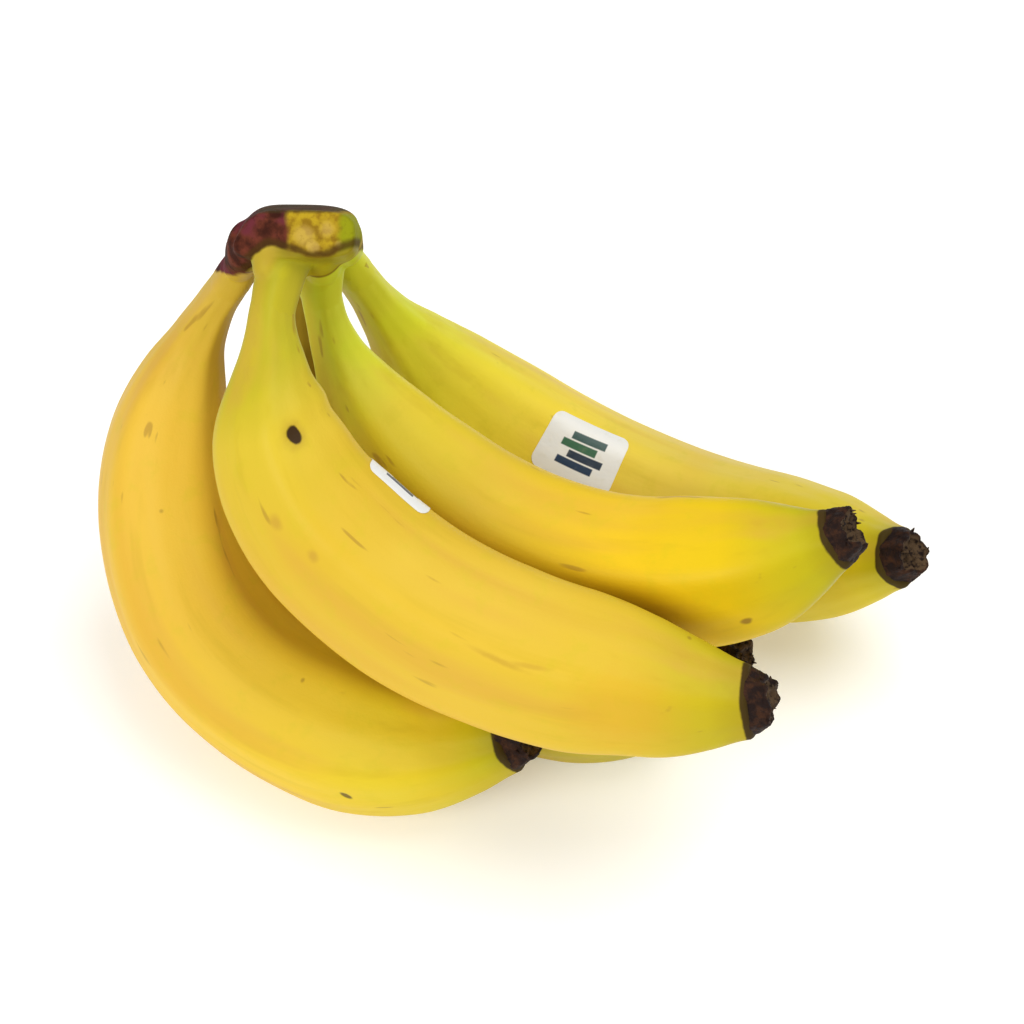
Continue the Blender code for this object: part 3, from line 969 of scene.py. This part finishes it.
def crown_paint():
    """The crown: a cut face between a dried side and a dark rim, and green necks below with painted shade
    just under the rim and in the crevices.
    """
    paint = Paint("crown", 0.62, 0.08)
    back, across, up = paint.parts(paint.named("crown_place", 1))
    place = paint.place()
    straight = paint.named("straight", 1)
    wander = paint.noise(place, 150.0, 3.0) - 0.5
    fine = paint.noise(place, 700.0, 4.0, 0.6)
    front = 1.0 - paint.eased(back, 2.0, 6.0)

    smile = (1.0 - paint.eased((across - SMILE_AT).worked("ABSOLUTE"), 0.0, SMILE_REACH)) * SMILE_DEPTH
    climbing = across * RIM_SLOPE + RIM_AT_MIDDLE
    rim = climbing.worked("SMOOTH_MIN", RIM_AT_RIGHT - smile, RIM_BLEND)
    above_rim = up - (rim.worked("MAXIMUM", RIM_LOWEST) + wander * RIM_WANDER)
    dried = paint.eased(above_rim, -0.5, 0.5)

    colour = ripened(paint, paint.named("neck_colour", 1), straight)
    # Painted shade: the necks are darkened olive brown just under the rim at the front
    below = paint.eased(above_rim, -3.4, 0.0) * paint.eased(across, 2.0, 8.0) * front
    colour = paint.mixed(below * 0.62, colour, seen(104, 78, 14))
    colour = paint.mixed(dried, colour, bark_colour(paint, place, across, wander, fine))

    # The cut face is at the front, right of the bark, and its green runs on round the right side
    side = paint.eased(across, 17.0, 20.0) * 18.0
    facing = 1.0 - paint.eased(back + wander - side, -5.4, -4.6)
    beside = paint.eased(across + wander * 2.5, 6.6, 8.2)
    cut = cut_colour(paint, place, across, up, wander, fine)
    colour = paint.mixed(facing * beside * dried, colour, cut)

    edge = (1.0 - paint.eased(above_rim, 0.9, 2.3)) * dried * front
    colour = paint.mixed(edge * 0.85, colour, seen(70, 46, 14))
    top = paint.eased(up + wander * 0.8, 10.6, 11.4)
    colour = paint.mixed(top * 0.75, colour, seen(66, 52, 28))
    paint.feed("Base Color", colour)
    paint.feed("Roughness", 0.46 + dried * 0.3)
    relief = fine * 0.6 + paint.noise(place, 260.0, 3.0)
    rough = paint.bump(relief * dried, 0.6 * MM, 0.7)
    fibres = paint.noise(drawn_out(paint, straight), 620.0, 2.0)
    paint.feed("Normal", paint.bump(fibres * (1.0 - dried), SKIN_BUMP, 0.35, rough))
    return paint.material


def joined_to(whole, part):
    """Joins a part to a whole piece."""
    with bpy.context.temp_override(active_object=whole, selected_editable_objects=[whole, part]):
        bpy.ops.object.join()


def angles_round(count):
    """Evenly spaced angles round a ring."""
    return np.arange(count) * 2 * pi / count


def slab_rings(beside, back, across, up):
    """Rings of the crown's slab: square with rounded corners, its left side sloping."""
    sections = np.array(CROWN_SECTIONS)
    knots = np.arange(len(sections))
    steps = np.linspace(0, len(sections) - 1, 12 * (len(sections) - 1) + 1)
    along, middle, half, bottom, top = (np.interp(steps, knots, sections[:, k]) * MM for k in range(5))
    angles = angles_round(CROWN_ROUND)
    power = 2 / CROWN_SQUARENESS
    side = np.sign(np.cos(angles)) * np.abs(np.cos(angles)) ** power
    height = np.sign(np.sin(angles)) * np.abs(np.sin(angles)) ** power
    side = np.where(side < 0, side * (1 - CROWN_LEFT_SLOPE * (1 + height) / 2), side)
    centre = beside + back * along[:, None] + across * middle[:, None]
    aside = across * (half[:, None] * side)[..., None]
    upward = up * ((top + bottom)[:, None] / 2 + (top - bottom)[:, None] / 2 * height)[..., None]
    return centre[:, None] + aside + upward


def neck_rings(name, fruit):
    """Rings of the start of a neck, ridged like the skin that it runs into."""
    begins, ends, swells = NECK_STARTS[name]
    past = np.linspace(begins, ends, 40) * MM
    swell = np.interp(past / MM, [place for place, share in swells], [share for place, share in swells])
    shares = past / fruit.length
    around = angles_round(NECK_ROUND)
    ridge = 1 + RIDGE_HEIGHT * np.cos(RIDGES * (around - fruit.ridge_turn))
    wide = fruit.girth(shares)[:, None] * swell[:, None] * ridge
    return fruit.frames(shares)[0][:, None] + fruit.outward(shares, around) * wide[..., None]


def web_rings(first, last, radius, end_radius):
    """Rings of a web of tissue between two places."""
    ahead = Vector(last - first).normalized()
    left = np.array(ahead.orthogonal().normalized())
    above = np.cross(ahead, left)
    steps = np.linspace(0, 1, 30)
    rounded_off = np.sqrt(np.clip(1 - (2 * steps - 1) ** 8, 0.02, 1))
    wide = (radius + (end_radius - radius) * steps) * rounded_off * MM
    around = angles_round(NECK_ROUND)
    outward = left * np.cos(around)[:, None] + above * np.sin(around)[:, None]
    return (first + (last - first) * steps[:, None])[:, None] + outward * wide[:, None, None]


def nearest_necks(places, fruits):
    """The colour of the necks about each place, and where it is on the nearest one made straight."""
    colours, total = np.zeros_like(places), np.zeros(len(places))
    straight, closest = np.zeros_like(places), np.full(len(places), 1.0)
    shares = np.linspace(0, NECK_SHARE, 60)
    for name, fruit in fruits.items():
        line, ahead, left, above = fruit.frames(shares)
        gaps = np.linalg.norm(places[:, None] - line, axis=2)
        i, gap = gaps.argmin(1), gaps.min(1)
        stops, tints = zip(*GROUND[name])
        tint = np.stack([np.interp(shares[i], stops, part) for part in zip(*tints)], 1)
        weight = np.exp(-((gap / NECK_BLEND) ** 2)) + 1e-9
        colours += tint * weight[:, None]
        total += weight
        aside = places - line[i]
        x, y = (aside * left[i]).sum(1), (aside * above[i]).sum(1)
        turned = np.arctan2(y, x) - fruit.inner_side
        wide = np.hypot(x, y)
        own = np.stack([wide * np.cos(turned), wide * np.sin(turned), shares[i] * fruit.length], 1)
        nearer = gap < closest
        straight[nearer] = own[nearer]
        closest = np.minimum(closest, gap)
    return colours / total[:, None], straight


def make_crown(fruits):
    """The crown and the starts of the necks, grown into one another."""
    beside, back, across, up = crown_frame()
    crown = loft("crown_skin", slab_rings(beside, back, across, up))
    for name in NECK_STARTS:
        joined_to(crown, loft("neck", neck_rings(name, fruits[name])))
    for start, end, radius, end_radius in WEBS:
        first, last = (beside + (back * v[0] + across * v[1] + up * v[2]) * MM for v in (start, end))
        joined_to(crown, loft("web", web_rings(first, last, radius, end_radius)))
    remesh = crown.modifiers.new("grown", "REMESH")
    remesh.mode = "VOXEL"
    remesh.voxel_size = CROWN_GRAIN
    smooth = crown.modifiers.new("soft", "SMOOTH")
    smooth.factor = 0.5
    smooth.iterations = CROWN_SMOOTHED
    plain(crown)

    places = np.empty(len(crown.data.vertices) * 3)
    crown.data.vertices.foreach_get("co", places)
    places = places.reshape(-1, 3)
    offset = places - beside
    colours, straight = nearest_necks(places, fruits)
    # Painted shade where the crown lies close to the fruits
    set_numbers(crown, "crevice", crevice_shade_amount(places, fruits))
    set_vectors(crown, "crown_place", np.stack([offset @ back, offset @ across, offset @ up], 1) / MM)
    set_vectors(crown, "straight", straight)
    set_vectors(crown, "neck_colour", colours)
    crown.data.materials.clear()
    crown.data.materials.append(crown_paint())
    crown.data.shade_smooth()
    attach(crown, "root")
    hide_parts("crown")


# The labels: fruit, share of its length, angle round it, turn on the skin, length and width (mm)
LABELS = {
    "back": (0.475, 10, -4, 25, 15.5),
    "front": (0.395, -12, 0, 20, 12),
}
LABEL_CORNER = 0.12
LABEL_THICKNESS = 0.10 * MM
LABEL_LIFT = 0.06 * MM
LABEL_COLUMNS, LABEL_ROWS = 56, 42
# The bars printed on a label, in shares of its half width and half length: middle, from, to, colour
LABEL_BARS = (
    (0.44, -0.50, 0.42, seen(24, 50, 78)),
    (0.15, -0.30, 0.58, seen(20, 40, 60)),
    (-0.14, -0.55, 0.34, seen(44, 96, 62)),
    (-0.43, -0.38, 0.50, seen(30, 70, 62)),
)
BAR_HEIGHT = 0.24
BAR_END, BAR_EDGE = 0.03, 0.04


def label_paint(name):
    """White paper with plain bars of dark blue and green."""
    paint = Paint("label_" + name, 0.35, 0.4)
    flat = paint.named("flat", 1)
    x, y = paint.parts(flat)[:2]
    colour = seen(232, 232, 228)
    for middle, begins, ends, bar in LABEL_BARS:
        low = middle - BAR_HEIGHT / 2 - BAR_EDGE / 2
        over = paint.within(x, begins, ends, BAR_END) * paint.within(y, low, low + BAR_HEIGHT, BAR_EDGE)
        colour = paint.mixed(over, colour, bar)
    worn = paint.eased(paint.noise(flat, 3.0, 3.0), 0.55, 0.75)
    colour = paint.mixed(worn * 0.12, colour, seen(190, 182, 140))
    paint.feed("Base Color", colour)
    paint.feed("Normal", paint.bump(paint.noise(flat, 6.0, 3.0), 0.2 * MM, 0.3))
    return paint.material


def make_label(name, fruit, skin):
    """A paper label pressed on the finished skin."""
    share, angle, turn, long, wide = LABELS[name]
    tree = BVHTree.FromObject(skin, bpy.context.evaluated_depsgraph_get())
    columns, rows = LABEL_COLUMNS, LABEL_ROWS
    across = np.linspace(-1, 1, columns + 1)
    upward = np.linspace(-1, 1, rows + 1)
    radius = float(fruit.girth(share))
    corner = LABEL_CORNER * long
    flats, sheets = [], [[], []]
    for v in upward:
        for u in across:
            x, y = rounded(u, v, long / 2, wide / 2, corner)
            turned = Matrix.Rotation(radians(turn), 2) @ Vector((x, y))
            here = share + turned.x * MM / fruit.length
            round_it = radians(angle) + turned.y * MM / radius
            start = Vector(fruit.skin([here], [round_it], 8 * MM)[0, 0])
            way = -Vector(fruit.outward([here], [round_it])[0, 0])
            hit = tree.ray_cast(start, way)[0]
            flats.append((x / (long / 2), y / (wide / 2), 0))
            sheets[0].append(hit - way * LABEL_LIFT)
            sheets[1].append(hit - way * (LABEL_LIFT + LABEL_THICKNESS))
    count = (columns + 1) * (rows + 1)
    faces = []
    for r in range(rows):
        for c in range(columns):
            a = r * (columns + 1) + c
            b, d, e = a + 1, a + columns + 2, a + columns + 1
            faces.append((a, e, d, b))
            faces.append((count + a, count + b, count + d, count + e))
    border = list(range(columns))
    border += [r * (columns + 1) + columns for r in range(rows)]
    border += [rows * (columns + 1) + c for c in range(columns, 0, -1)]
    border += [r * (columns + 1) for r in range(rows, 0, -1)]
    for a, b in zip(border, border[1:] + border[:1]):
        faces.append((a, b, count + b, count + a))
    label = mesh_object("label_paper_" + name, sheets[0] + sheets[1], faces)
    label.data.set_sharp_from_angle(angle=radians(50))
    set_vectors(label, "flat", np.array(flats + flats))
    tidy_normals(label)
    label.data.materials.append(label_paint(name))
    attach(label, "root")
    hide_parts("label_" + name)
    return label


def rounded(u, v, half_long, half_wide, corner):
    """A point of a square grid, moved into a rounded rectangle."""
    x, y = u * half_long, v * half_wide
    over_x = abs(x) - (half_long - corner)
    over_y = abs(y) - (half_wide - corner)
    if over_x > 0 and over_y > 0:
        reach = max(over_x, over_y)
        length = (over_x**2 + over_y**2) ** 0.5
        x = np.sign(x) * (half_long - corner + over_x * reach / length)
        y = np.sign(y) * (half_wide - corner + over_y * reach / length)
    return x, y


def tidy_normals(piece):
    """Faces of a closed piece turned to point outwards."""
    mesh = bmesh.new()
    mesh.from_mesh(piece.data)
    bmesh.ops.recalc_face_normals(mesh, faces=mesh.faces)
    mesh.to_mesh(piece.data)
    mesh.free()


# The lamps: place, what each is aimed at, size (m), power (W) and colour
LAMPS = {
    "key": ((-0.58, -0.80, 0.78), (0, 0, 0.04), 0.5, 7.4, (1, 0.99, 0.97)),
    "top": ((0.35, 0.10, 1.15), (0, 0, 0), 0.9, 8.6, (1, 1, 1)),
}
SKY_STRENGTH = 0.42
TABLE_GLOW = 0.22
TABLE_SIZE = 6


def soft_light(name, place, aim, size, power, colour):
    """A large soft lamp aimed at a point."""
    data = bpy.data.lights.new(name, "AREA")
    data.shape = "RECTANGLE"
    data.size = data.size_y = size
    data.energy = power
    data.color = colour
    lamp = bpy.data.objects.new(name, data)
    lamp.location = place
    lamp.rotation_euler = (Vector(aim) - Vector(place)).to_track_quat("-Z", "Y").to_euler()
    bpy.context.scene.collection.objects.link(lamp)


def make_studio():
    """Table top, lamps, sky and camera."""
    bpy.ops.mesh.primitive_plane_add(size=TABLE_SIZE, location=(0, 0, 0))
    table = bpy.context.object
    table.name = "table_top"
    paint = Paint("pale_table", 0.8, 0.2)
    paint.shader.inputs["Base Color"].default_value = (*seen(246, 246, 245), 1)
    paint.shader.inputs["Emission Color"].default_value = (1, 1, 1, 1)
    paint.shader.inputs["Emission Strength"].default_value = TABLE_GLOW
    table.data.materials.append(paint.material)

    world = bpy.data.worlds.new("studio")
    bpy.context.scene.world = world
    world.use_nodes = True
    world.node_tree.nodes["Background"].inputs["Color"].default_value = (1, 1, 1, 1)
    world.node_tree.nodes["Background"].inputs["Strength"].default_value = SKY_STRENGTH
    for name, facts in LAMPS.items():
        soft_light(name, *facts)
    bpy.context.scene.view_settings.view_transform = "Standard"

    data = bpy.data.cameras.new("camera")
    data.lens = CAMERA_LENS
    data.sensor_width = 36
    camera = bpy.data.objects.new("camera", data)
    turned = Matrix(photo_ways()).transposed().to_4x4()
    camera.matrix_world = Matrix.Translation(Vector(CAMERA_PLACE) * MM) @ turned
    data.clip_start, data.clip_end = 0.05, 20
    bpy.context.scene.collection.objects.link(camera)
    bpy.context.scene.camera = camera


def main():
    fruits = {name: Fruit(OWN_SHAPE[name], *facts) for name, facts in FRUITS.items()}
    flowers = flower_tree(flower_paint())
    skins = {}
    for number, (name, fruit) in enumerate(fruits.items(), start=1):
        skins[name] = make_skin(name, fruits, relief_tree(skin_paint(name, fruit)))
        make_flower(name, fruit, flowers, number)
    make_crown(fruits)
    for name in LABELS:
        make_label(name, fruits[name], skins[name])
    make_studio()


main()
